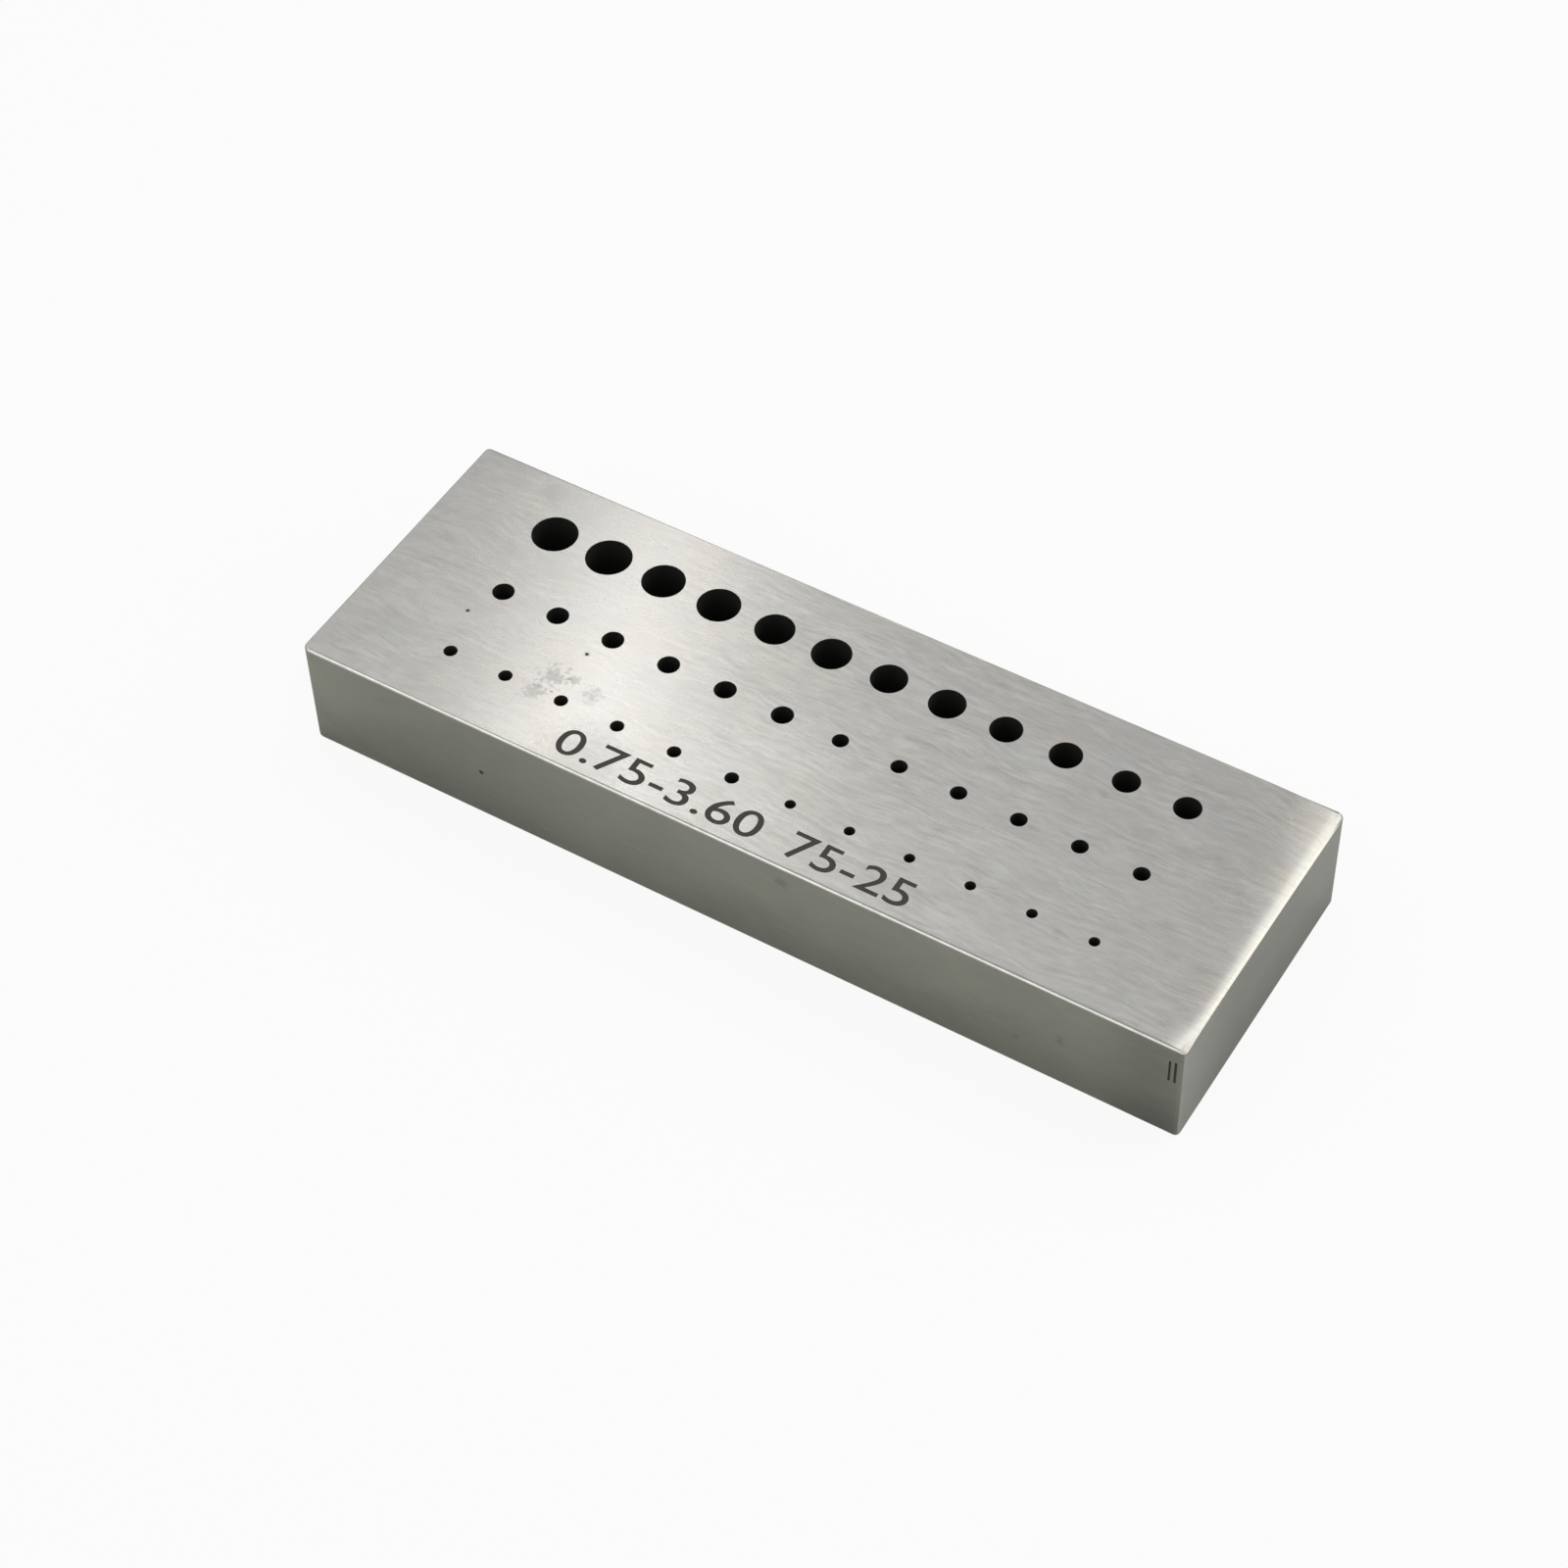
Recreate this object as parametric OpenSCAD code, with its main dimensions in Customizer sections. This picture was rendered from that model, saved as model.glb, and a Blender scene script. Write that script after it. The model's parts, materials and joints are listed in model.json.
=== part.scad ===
// Staking block: one ground and hardened steel bar, drilled right through with three rows of holes
// that step down in size from the left end to the right end and from the back row to the front row.
// Millimetres. The origin is at the centre of the underside, +X along the length towards the small
// holes, +Y towards the row of large holes, +Z up.

/* [Block] */
// Length of the block
block_length = 75; // [66:0.5:120]
// Width of the block
block_width = 25; // [20:0.5:50]
// Height of the block
block_height = 10; // [5:0.5:25]
// Radius of the upright edges at the four corners
corner_radius = 0.5; // [0.35:0.05:2]
// Radius of the edges along the long sides, top and bottom
side_edge_radius = 0.3; // [0.1:0.05:0.8]
// Radius of the edges across the two ends, top and bottom
end_edge_radius = 0.3; // [0.1:0.05:0.8]

/* [Hole grid] */
// Number of holes in each row
columns = 12; // [4:1:13]
// Distance between neighbouring holes of a row, centre to centre
hole_pitch = 5; // [4.4:0.1:6]
// Distance between neighbouring rows, centre to centre
row_pitch = 7.1; // [4:0.1:9.5]
// Width of the small break around each hole's mouth, top and bottom
rim_break = 0.05; // [0.02:0.01:0.2]

/* [Back row, six sizes] */
// Diameter of the holes at the left end
back_bore_1 = 3.6; // [3.2:0.05:4]
// Diameter of the second size
back_bore_2 = 3.35; // [2.9:0.05:4]
// Diameter of the third size
back_bore_3 = 3.05; // [2.6:0.05:4]
// Diameter of the fourth size
back_bore_4 = 2.8; // [2.4:0.05:4]
// Diameter of the fifth size
back_bore_5 = 2.45; // [2:0.05:4]
// Diameter of the holes at the right end
back_bore_6 = 2.05; // [1.6:0.05:4]

/* [Middle row, two sizes] */
// Diameter of the left half's holes
middle_bore_left = 1.65; // [1.2:0.05:3]
// Diameter of the right half's holes
middle_bore_right = 1.2; // [0.9:0.05:3]

/* [Front row, two sizes] */
// Diameter of the left half's holes
front_bore_left = 1; // [0.7:0.05:3]
// Diameter of the right half's holes
front_bore_right = 0.75; // [0.5:0.05:3]

/* [Hidden] */
$fn = 48;

// The rows from the front to the back, each with its sizes from the left end to the right end
rows = [
    [front_bore_left, front_bore_right],
    [middle_bore_left, middle_bore_right],
    [back_bore_1, back_bore_2, back_bore_3, back_bore_4, back_bore_5, back_bore_6]
];
middle_row = (len(rows) - 1) / 2;
middle_column = (columns - 1) / 2;

// The blanks that shape the bar run past one another by this much
blank_overrun = 2;

// A column's size: the row's sizes are shared out evenly along it
function bore_at(sizes, column) = sizes[floor(column * len(sizes) / columns)];

// A rectangle with round corners, centred
module round_rectangle(size_x, size_y, radius) {
    square([size_x - 2 * radius, size_y], center = true);
    square([size_x, size_y - 2 * radius], center = true);
    for (side_x = [-1, 1], side_y = [-1, 1])
        translate([side_x * (size_x / 2 - radius), side_y * (size_y / 2 - radius)])
            circle(r = radius);
}

// The bar before drilling: the common part of its plan, its end profile and its side profile
module rounded_bar() {
    intersection() {
        translate([0, 0, -blank_overrun])
            linear_extrude(block_height + 2 * blank_overrun)
                round_rectangle(block_length, block_width, corner_radius);
        translate([0, 0, block_height / 2])
            rotate([90, 0, 90])
                linear_extrude(block_length + 2 * blank_overrun, center = true)
                    round_rectangle(block_width, block_height, side_edge_radius);
        translate([0, 0, block_height / 2])
            rotate([90, 0, 0])
                linear_extrude(block_width + 2 * blank_overrun, center = true)
                    round_rectangle(block_length, block_height, end_edge_radius);
    }
}

// The widening at a hole's mouth at 45 degrees, from rim_break below the face to as far above it
module mouth_break(bore) {
    translate([0, 0, -rim_break])
        cylinder(h = 2 * rim_break, r1 = bore / 2, r2 = bore / 2 + 2 * rim_break);
}

// One straight hole through the whole height, with both of its mouths broken
module through_hole(bore) {
    translate([0, 0, -blank_overrun])
        cylinder(h = block_height + 2 * blank_overrun, d = bore);
    translate([0, 0, block_height])
        mouth_break(bore);
    mirror([0, 0, 1])
        mouth_break(bore);
}

module block() {
    color([0.74, 0.73, 0.7])
        difference() {
            rounded_bar();
            for (row = [0 : len(rows) - 1], column = [0 : columns - 1])
                translate([(column - middle_column) * hole_pitch, (row - middle_row) * row_pitch, 0])
                    through_hole(bore_at(rows[row], column));
        }
}

block();
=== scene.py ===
"""The looks of the staking block, a ground steel bar with black holes and plain numbers, and its stage."""

import json
import math

import bpy
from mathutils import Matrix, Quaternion, Vector


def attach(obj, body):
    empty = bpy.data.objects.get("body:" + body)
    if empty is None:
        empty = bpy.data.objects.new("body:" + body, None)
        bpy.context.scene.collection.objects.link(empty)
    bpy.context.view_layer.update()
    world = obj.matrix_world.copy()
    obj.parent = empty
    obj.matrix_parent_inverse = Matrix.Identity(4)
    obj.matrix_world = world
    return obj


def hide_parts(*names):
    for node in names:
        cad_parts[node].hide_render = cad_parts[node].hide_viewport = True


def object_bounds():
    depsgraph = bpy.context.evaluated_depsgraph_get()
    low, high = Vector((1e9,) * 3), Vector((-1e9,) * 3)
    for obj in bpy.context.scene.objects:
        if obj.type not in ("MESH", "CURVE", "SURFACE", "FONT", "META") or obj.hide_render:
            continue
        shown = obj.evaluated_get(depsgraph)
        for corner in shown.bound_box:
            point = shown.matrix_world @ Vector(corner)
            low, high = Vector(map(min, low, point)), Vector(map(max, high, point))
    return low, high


bl_info = {
    "name": "Staking block",
    "version": (1, 0, 0),
    "blender": (4, 5, 0),
    "location": "3D View > Sidebar > Staking block",
    "description": "Models the ground steel staking block and the stage that it stands on",
    "category": "Object",
}

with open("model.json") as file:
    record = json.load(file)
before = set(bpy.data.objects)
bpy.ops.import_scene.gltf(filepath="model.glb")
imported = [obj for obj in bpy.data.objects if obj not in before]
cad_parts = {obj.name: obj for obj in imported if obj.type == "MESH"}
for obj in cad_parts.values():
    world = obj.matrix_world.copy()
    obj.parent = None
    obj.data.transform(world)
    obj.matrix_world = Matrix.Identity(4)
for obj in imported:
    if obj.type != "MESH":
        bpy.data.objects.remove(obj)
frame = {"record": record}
CAD_LOW, CAD_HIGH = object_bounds()

MM = 0.001
BLOCK_NAME = "ground_block"
LEFT, RIGHT = CAD_LOW.x, CAD_HIGH.x
FRONT, BACK = CAD_LOW.y, CAD_HIGH.y
BOTTOM, TOP = CAD_LOW.z, CAD_HIGH.z
# A point counts as lying on a face within this distance
TOUCH = 0.002 * MM
# A face counts as level, as one of the block's six sides, or as quite flat from this part of its normal on
LEVEL = 0.999
SQUARE = 0.9985
FLAT = 0.99999


def length_property(name, description, millimetres):
    """A length that a user can change, shown in the scene's own units."""
    return bpy.props.FloatProperty(
        name=name,
        description=description,
        default=millimetres * MM,
        min=0.0,
        precision=5,
        unit="LENGTH",
    )


def tone_property(name, description, red, green, blue):
    """A linear colour that a user can change."""
    return bpy.props.FloatVectorProperty(
        name=name,
        description=description,
        default=(red, green, blue),
        min=0.0,
        max=1.0,
        size=3,
        subtype="COLOR",
    )


class StakingBlockSizes(bpy.types.PropertyGroup):
    """The small sizes of the block that the eye sees but no mount depends on."""

    front_left_radius: length_property("Front left corner", "Radius of the front left upright edge", 0.65)
    back_left_radius: length_property("Back left corner", "Radius of the back left upright edge", 0.4)
    back_right_radius: length_property("Back right corner", "Radius of the back right upright edge", 0.5)
    front_right_radius: length_property("Front right corner", "Radius of the front right upright edge", 0.42)
    edge_radius: length_property("Edges", "Radius of the edges round the two ground faces", 0.2)
    worn_edge_radius: length_property("Worn edge", "Radius of the upper edge at the right end", 0.3)
    dubbing_depth: length_property("Dubbing", "How far the upper face drops towards the right end", 0.085)
    corner_dubbing: length_property("Corner dubbing", "How much further it drops at the back corner", 0.2)
    dubbing_width: length_property("Dubbing width", "How far from the right end the drop starts", 2.4)
    corner_width: length_property("Corner dubbing width", "How much further it reaches there", 4.0)
    lip_depth: length_property("Lip", "How much further its last part drops, twice that at corners", 0.016)
    lip_width: length_property("Lip width", "How far from the right end its last part starts", 0.75)
    least_place: length_property("Least dubbing", "How far from the front the drop is least", 6.0)
    rim_break: length_property("Rim break", "Width of the break round each hole's mouth", 0.05)
    etch_depth: length_property("Etch depth", "Depth of the etched numbers", 0.02)
    digit_height: length_property("Digit height", "Height of the etched numbers", 2.55)
    digit_stroke: length_property("Digit stroke", "Added to the weight of the etched numbers' lines", 0.015)
    baseline: length_property("Baseline", "From the front of the block to the foot of the numbers", 1.05)


class StakingBlockTones(bpy.types.PropertyGroup):
    """The colours of the block's finishes."""

    steel: tone_property("Ground steel", "The two ground faces", 0.58, 0.57, 0.546)
    # The edges' tone is raised above the steel's for rubbing and, in part, as a painted highlight along them
    edge: tone_property("Rubbed edges and painted highlight", "The edges and rims, which handling rubs bright", 0.8, 0.79, 0.75)
    # How much darker the long sides and the ends are than the ground faces is partly painted shade
    side: tone_property("Long sides", "The two long sides, which are ground less finely", 0.5, 0.5, 0.425)
    end: tone_property("Ends", "The two ends, which are rubbed a little brighter", 0.497, 0.501, 0.45)
    scale: tone_property("Scale", "The dark heat scale inside the holes", 0.012, 0.012, 0.01)
    etch: tone_property("Etch", "The etched numbers", 0.05, 0.048, 0.043)


# Selecting and cutting


def deselect_all():
    bpy.ops.object.select_all(action="DESELECT")


def activate(thing):
    """Leaves this object selected alone and active."""
    deselect_all()
    thing.select_set(True)
    bpy.context.view_layer.objects.active = thing


def select_edges(mesh, wanted):
    """Selects, in edge mode, just the edges whose two ends pass the test."""
    mesh.vertices.foreach_set("select", [False] * len(mesh.vertices))
    mesh.polygons.foreach_set("select", [False] * len(mesh.polygons))
    for edge in mesh.edges:
        edge.select = wanted(*(mesh.vertices[i].co for i in edge.vertices))


def select_faces(mesh, wanted):
    """Selects, in face mode, just the faces that pass the test."""
    mesh.vertices.foreach_set("select", [False] * len(mesh.vertices))
    mesh.edges.foreach_set("select", [False] * len(mesh.edges))
    for face in mesh.polygons:
        face.select = wanted(face)


def edit(thing, part):
    """Opens edit mode with vertices, edges or faces as what is selected."""
    activate(thing)
    bpy.ops.object.mode_set(mode="EDIT")
    bpy.ops.mesh.select_mode(type=part)


def close_edit():
    bpy.ops.object.mode_set(mode="OBJECT")


def apply_modifier(thing, kind, **settings):
    """Adds one modifier with these settings and applies it."""
    activate(thing)
    modifier = thing.modifiers.new(kind.title(), kind)
    for name, value in settings.items():
        setattr(modifier, name, value)
    bpy.ops.object.modifier_apply(modifier=modifier.name)


def cut_away(thing, cutter):
    """Takes the cutter's shape out of the thing; what it leaves bare has the cutter's material."""
    apply_modifier(
        thing,
        "BOOLEAN",
        object=cutter,
        operation="DIFFERENCE",
        solver="EXACT",
        material_mode="TRANSFER",
    )
    bpy.data.objects.remove(cutter)


def join_all(parts):
    """Makes one object of several."""
    activate(parts[0])
    for part in parts:
        part.select_set(True)
    if len(parts) > 1:
        bpy.ops.object.join()
    return bpy.context.view_layer.objects.active


def set_in_place(thing):
    """Puts the object's place into its mesh, as a CAD node has it."""
    activate(thing)
    bpy.ops.object.transform_apply(location=True, rotation=True, scale=True)


# The node sheets that the finishes are drawn on


class Sheet:
    """Adds nodes to one tree. A value that is a socket is linked, and any other is set."""

    def __init__(self, tree):
        self.tree = tree

    def add(self, kind, inputs=None, **settings):
        node = self.tree.nodes.new(kind)
        node.location = (180 * (len(self.tree.nodes) % 12), -220 * (len(self.tree.nodes) // 12))
        for name, value in settings.items():
            setattr(node, name, value)
        for name, value in (inputs or {}).items():
            if isinstance(value, bpy.types.NodeSocket):
                self.tree.links.new(value, node.inputs[name])
            else:
                node.inputs[name].default_value = value
        return node

    def math(self, operation, first, second=0.0, clamp=False):
        node = self.add("ShaderNodeMath", {0: first, 1: second}, operation=operation, use_clamp=clamp)
        return node.outputs[0]

    def step(self, value, low, high):
        """0 below low, 1 above high and smooth between them; falling if low is above high."""
        names = {"Value": value, "From Min": low, "From Max": high}
        return self.add("ShaderNodeMapRange", names, interpolation_type="SMOOTHSTEP").outputs[0]

    def between(self, value, low, high):
        """0..1 stretched to low..high."""
        return self.add("ShaderNodeMapRange", {"Value": value, "To Min": low, "To Max": high}).outputs[0]

    def mix(self, factor, first, second):
        inputs = {"Factor": factor}
        node = self.add("ShaderNodeMix", inputs, data_type="RGBA")
        for socket, colour in ((6, first), (7, second)):
            if isinstance(colour, bpy.types.NodeSocket):
                self.tree.links.new(colour, node.inputs[socket])
            else:
                node.inputs[socket].default_value = (*colour, 1.0)
        return node.outputs[2]

    def noise(self, vector, scale=1.0, detail=2.0, roughness=0.5, distortion=0.0):
        inputs = {"Vector": vector, "Scale": scale, "Detail": detail}
        inputs.update({"Roughness": roughness, "Distortion": distortion})
        return self.add("ShaderNodeTexNoise", inputs).outputs["Fac"]

    def stretched(self, vector, along, across):
        """The pattern's space, with one unit as long and as wide as given in millimetres."""
        scale = (1 / along, 1 / across, 1 / across)
        return self.add("ShaderNodeMapping", {"Vector": vector, "Scale": scale}).outputs[0]


def new_group(name, inputs, outputs):
    """An empty shader node group; returns it, its sheet, its inputs and its output node."""
    group = bpy.data.node_groups.new(name, "ShaderNodeTree")
    for label, kind, value in inputs:
        socket = group.interface.new_socket(name=label, in_out="INPUT", socket_type=kind)
        if value is not None:
            socket.default_value = value
    for label, kind in outputs:
        group.interface.new_socket(name=label, in_out="OUTPUT", socket_type=kind)
    sheet = Sheet(group)
    given = sheet.add("NodeGroupInput").outputs
    wanted = sheet.add("NodeGroupOutput").inputs
    return group, sheet, given, wanted


def grain_group():
    """Grinding lines along u: wavy short streaks over finer and longer ones, about -1 to 1."""
    inputs = [("Vector", "NodeSocketVector", None), ("Length", "NodeSocketFloat", 1.0)]
    inputs += [("Spacing", "NodeSocketFloat", 1.0), ("Wave", "NodeSocketFloat", 0.3)]
    inputs += [("Broken", "NodeSocketFloat", 0.5)]
    group, sheet, given, wanted = new_group("Grinding lines", inputs, [("Lines", "NodeSocketFloat")])
    parts = sheet.add("ShaderNodeSeparateXYZ", {0: given["Vector"]}).outputs
    drift = sheet.noise(sheet.stretched(given["Vector"], 7.0, 4.0), 1.0, 1.0)
    swing = sheet.math("MULTIPLY", given["Wave"], 4.0)
    swing = sheet.math("MULTIPLY", sheet.math("SUBTRACT", drift, 0.5), swing)
    waved = sheet.math("ADD", parts[1], swing)
    along = sheet.math("DIVIDE", parts[0], given["Length"])
    across = sheet.math("DIVIDE", waved, given["Spacing"])

    def layer(length, spacing, place):
        near = sheet.math("DIVIDE", along, length)
        beside = sheet.math("DIVIDE", across, spacing)
        space = sheet.add("ShaderNodeCombineXYZ", {0: near, 1: beside, 2: place}).outputs[0]
        return sheet.math("SUBTRACT", sheet.noise(space, 1.0, 1.0), 0.5)

    lines = sheet.math("MULTIPLY", layer(1.0, 1.0, 3.7), 2.4)
    lines = sheet.math("ADD", lines, sheet.math("MULTIPLY", layer(0.4, 0.6, 11.2), 1.1))
    lines = sheet.math("ADD", lines, sheet.math("MULTIPLY", layer(7.0, 0.8, 7.3), 1.3))
    patches = sheet.step(sheet.noise(sheet.stretched(given["Vector"], 6.0, 2.5), 1.0, 2.0), 0.35, 0.65)
    strength = sheet.math("SUBTRACT", 1.0, sheet.math("MULTIPLY", given["Broken"], patches))
    sheet.tree.links.new(sheet.math("MULTIPLY", lines, strength), wanted["Lines"])
    return group


def haze_group():
    """Soft cloudy patches, -1 to 1, that handling and storage leave on bare steel."""
    inputs = [("Vector", "NodeSocketVector", None), ("Size", "NodeSocketFloat", 4.0)]
    group, sheet, given, wanted = new_group("Cloudy haze", inputs, [("Haze", "NodeSocketFloat")])
    scale = sheet.math("DIVIDE", 1.0, given["Size"])
    vector = sheet.stretched(given["Vector"], 1.6, 1.0)
    clouds = sheet.noise(vector, scale, 5.0, 0.62, 0.8)
    centred = sheet.math("MULTIPLY", sheet.math("SUBTRACT", clouds, 0.5), 2.0)
    sheet.tree.links.new(centred, wanted["Haze"])
    return group


def scratch_group():
    """One fine scratch: 1 on a line of the given place, angle, length and width, 0 away from it."""
    inputs = [("Vector", "NodeSocketVector", None), ("Centre", "NodeSocketVector", None)]
    inputs += [("Angle", "NodeSocketFloat", 0.0), ("Length", "NodeSocketFloat", 2.0)]
    inputs += [("Width", "NodeSocketFloat", 0.1)]
    group, sheet, given, wanted = new_group("Scratch", inputs, [("Scratch", "NodeSocketFloat")])
    ends = {0: given["Vector"], 1: given["Centre"]}
    shifted = sheet.add("ShaderNodeVectorMath", ends, operation="SUBTRACT").outputs[0]
    turn = {"Vector": shifted, "Angle": sheet.math("MULTIPLY", given["Angle"], -1.0)}
    turned = sheet.add("ShaderNodeVectorRotate", turn, rotation_type="Z_AXIS").outputs[0]
    parts = sheet.add("ShaderNodeSeparateXYZ", {0: turned}).outputs
    waver = sheet.math("SUBTRACT", sheet.noise(given["Vector"], 1.2), 0.5)
    waver = sheet.math("MULTIPLY", waver, 0.25)
    off_line = sheet.math("ABSOLUTE", sheet.math("ADD", parts[1], waver))
    half = sheet.math("MULTIPLY", given["Length"], 0.5)
    off_end = sheet.math("SUBTRACT", sheet.math("ABSOLUTE", parts[0]), half)
    narrow = sheet.step(sheet.math("DIVIDE", off_line, given["Width"]), 1.0, 0.0)
    ended = sheet.step(off_end, 0.0, -0.6)
    on_face = sheet.step(sheet.math("ABSOLUTE", parts[2]), 2.0, 1.0)
    scratch = sheet.math("MULTIPLY", sheet.math("MULTIPLY", narrow, ended), on_face)
    sheet.tree.links.new(scratch, wanted["Scratch"])
    return group


def smudge_group():
    """One ragged patch round a centre, used for smudges and for painted light and shade: 1 in its middle, 0
    outside its radius.
    """
    inputs = [("Vector", "NodeSocketVector", None), ("Centre", "NodeSocketVector", None)]
    inputs += [("Radius", "NodeSocketFloat", 1.0), ("Ragged", "NodeSocketFloat", 0.6)]
    group, sheet, given, wanted = new_group("Smudge", inputs, [("Smudge", "NodeSocketFloat")])
    ends = {0: given["Vector"], 1: given["Centre"]}
    apart = sheet.add("ShaderNodeVectorMath", ends, operation="DISTANCE")
    share = sheet.math("DIVIDE", apart.outputs["Value"], given["Radius"])
    rags = sheet.math("SUBTRACT", sheet.noise(given["Vector"], 2.6, 4.0, 0.65, 0.4), 0.5)
    ragged = sheet.math("MULTIPLY", rags, sheet.math("MULTIPLY", given["Ragged"], 4.0))
    sheet.tree.links.new(sheet.step(sheet.math("ADD", share, ragged), 1.0, 0.2), wanted["Smudge"])
    return group


def new_material(name):
    material = bpy.data.materials.new(name)
    material.use_nodes = True
    material.node_tree.nodes.clear()
    return material, Sheet(material.node_tree)


def face_space(sheet, plane):
    """Millimetres on a face: along the grain, across it, and off the face."""
    place = sheet.add("ShaderNodeTexCoord").outputs["Object"]
    in_mm = sheet.add("ShaderNodeVectorMath", {0: place, "Scale": 1 / MM}, operation="SCALE").outputs[0]
    parts = sheet.add("ShaderNodeSeparateXYZ", {0: in_mm}).outputs
    order = [parts["XYZ".index(letter)] for letter in plane]
    return sheet.add("ShaderNodeCombineXYZ", {0: order[0], 1: order[1], 2: order[2]}).outputs[0]


def finish_shader(sheet, colour, roughness, height, bump, metallic=1.0, radial=None, stretch=0.0):
    """The Principled shader that ends a material. Bump is the height's full range in metres."""
    inputs = {"Base Color": colour, "Roughness": roughness, "Metallic": metallic}
    inputs["Anisotropic"] = stretch
    bumped = sheet.add("ShaderNodeBump", {"Height": height, "Distance": bump, "Strength": 1.0})
    inputs["Normal"] = bumped.outputs[0]
    if radial:
        tangent = sheet.add("ShaderNodeTangent", direction_type="RADIAL", axis=radial)
        inputs["Tangent"] = tangent.outputs[0]
        inputs["Anisotropic Rotation"] = 0.25
    shader = sheet.add("ShaderNodeBsdfPrincipled", inputs)
    sheet.add("ShaderNodeOutputMaterial", {"Surface": shader.outputs[0]})


def grouped(sheet, group, inputs):
    node = sheet.add("ShaderNodeGroup", None, node_tree=bpy.data.node_groups[group])
    for name, value in inputs.items():
        if isinstance(value, bpy.types.NodeSocket):
            sheet.tree.links.new(value, node.inputs[name])
        else:
            node.inputs[name].default_value = value
    return node.outputs[0]


def add_marks(sheet, space, kind, marks):
    """The sum of several scratches, smudges or patches of painted light and shade, each a dictionary of its
    group's inputs and its strength.
    """
    total = 0.0
    for mark in marks:
        inputs = {name: value for name, value in mark.items() if name != "Strength"}
        one = grouped(sheet, kind, {"Vector": space, **inputs})
        total = sheet.math("ADD", total, sheet.math("MULTIPLY", one, mark["Strength"]))
    return total


def shaded(tone, share):
    """The tone made lighter or darker by a share."""
    return tuple(min(1.0, max(0.0, part * share)) for part in tone)


def warmed(tone, share):
    """The tone with its red raised and its blue lowered by the same share."""
    return (min(1.0, tone[0] * share), tone[1], min(1.0, tone[2] * (2.0 - share)))


# How rough the two ground faces and the sides are before lines, haze and smudges vary it
FACE_ROUGHNESS = 0.27
SIDE_ROUGHNESS = 0.34


def ground_face_material(tones):
    """The two ground faces: fine lengthwise lines, cloudy haze, a few stains and scratches, and two patches
    of painted light and shade.
    """
    material, sheet = new_material("ground_face")
    space = face_space(sheet, "XYZ")
    grain = {"Vector": space, "Length": 1.8, "Spacing": 0.34, "Wave": 0.5, "Broken": 0.45}
    lines = grouped(sheet, "Grinding lines", grain)
    haze = grouped(sheet, "Cloudy haze", {"Vector": space, "Size": 3.0})
    smudges_or_painted_patches = add_marks(sheet, space, "Smudge", TOP_SMUDGES_AND_PAINTED_PATCHES)
    light_scratches = add_marks(sheet, space, "Scratch", TOP_LIGHT_SCRATCHES)
    dark_scratches = add_marks(sheet, space, "Scratch", TOP_DARK_SCRATCHES)
    # The warmer and cooler patches come from a part of the noise far from the haze's own
    elsewhere = {"Vector": space, "Location": (31.0, 17.0, 5.0)}
    tint = sheet.add("ShaderNodeMapping", elsewhere).outputs[0]
    hue = sheet.step(sheet.noise(tint, 0.25, 3.0, 0.6), 0.3, 0.7)
    base = sheet.mix(hue, warmed(tones.steel, 0.988), warmed(tones.steel, 1.016))
    # Towards the left end, where the block is held, the lines are fainter and the haze is stronger
    along = sheet.add("ShaderNodeSeparateXYZ", {0: space}).outputs[0]
    handled = sheet.step(along, -8.0, -26.0)
    value = sheet.math("MULTIPLY", lines, sheet.between(handled, 0.155, 0.105))
    value = sheet.math("ADD", value, sheet.math("MULTIPLY", haze, sheet.between(handled, 0.06, 0.13)))
    value = sheet.math("ADD", value, sheet.math("MULTIPLY", light_scratches, 0.14))
    value = sheet.math("SUBTRACT", value, sheet.math("MULTIPLY", dark_scratches, 0.3))
    # These include a patch of painted shade over the highlight near the front and one of painted light beside
    # it
    value = sheet.math("SUBTRACT", value, sheet.math("MULTIPLY", smudges_or_painted_patches, 0.3))
    factor = sheet.math("ADD", value, 1.0)
    colour = sheet.add("ShaderNodeVectorMath", {0: base, "Scale": factor}, operation="SCALE").outputs[0]
    rough = sheet.math("ADD", FACE_ROUGHNESS, sheet.math("MULTIPLY", lines, 0.02))
    rough = sheet.math("ADD", rough, sheet.math("MULTIPLY", haze, 0.04))
    rough = sheet.math("ADD", rough, sheet.math("MULTIPLY", smudges_or_painted_patches, 0.03))
    finish_shader(sheet, colour, rough, lines, bump=0.0001 * MM, radial="Y", stretch=0.7)
    return material


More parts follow.
